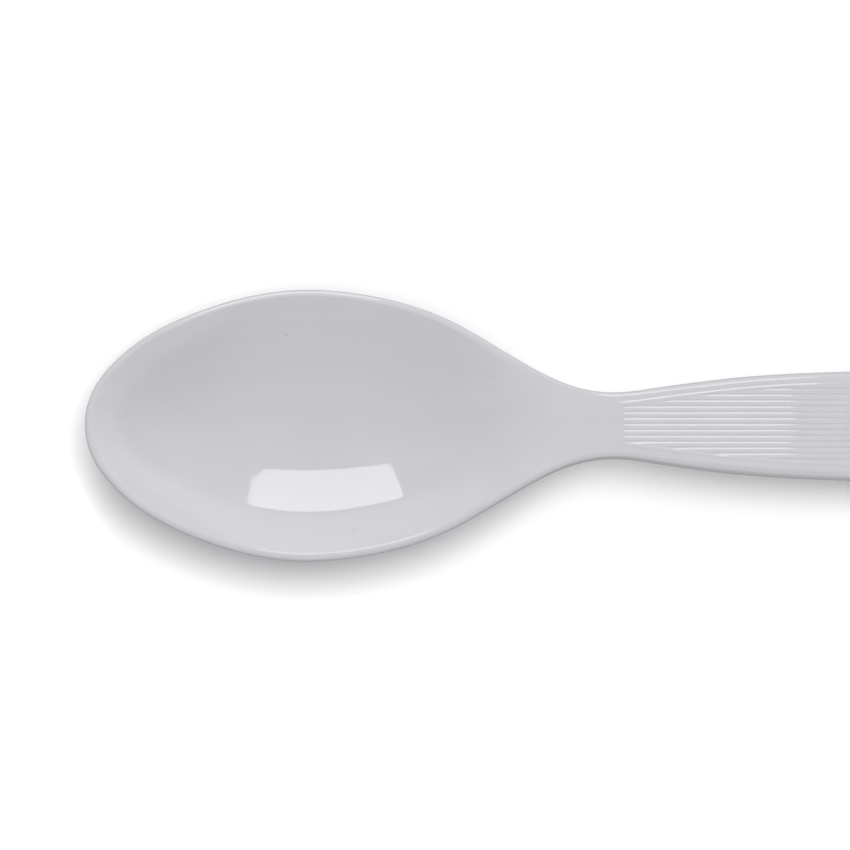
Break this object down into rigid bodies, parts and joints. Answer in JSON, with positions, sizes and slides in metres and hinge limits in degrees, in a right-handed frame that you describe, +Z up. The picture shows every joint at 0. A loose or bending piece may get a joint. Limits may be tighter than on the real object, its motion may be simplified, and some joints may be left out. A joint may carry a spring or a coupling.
{
  "type": "plastic teaspoon",
  "caption": "One-piece moulded plastic teaspoon with an oval bowl, a waisted neck and an arched handle with a raised, reeded panel.",
  "frame": {"origin": "middle of the spoon's length and width, on the surface that it lies on", "axes": "+X from the tip of the bowl towards the end of the handle, +Y across the bowl, +Z up out of the open bowl"},
  "size_m": [0.15, 0.0344, 0.0088],
  "materials": {
    "white_plastic": "glossy, lightly orange-peeled white injection-moulded plastic"
  },
  "bodies": {
    "root": {"spoon": "white_plastic"}
  },
  "joints": []
}
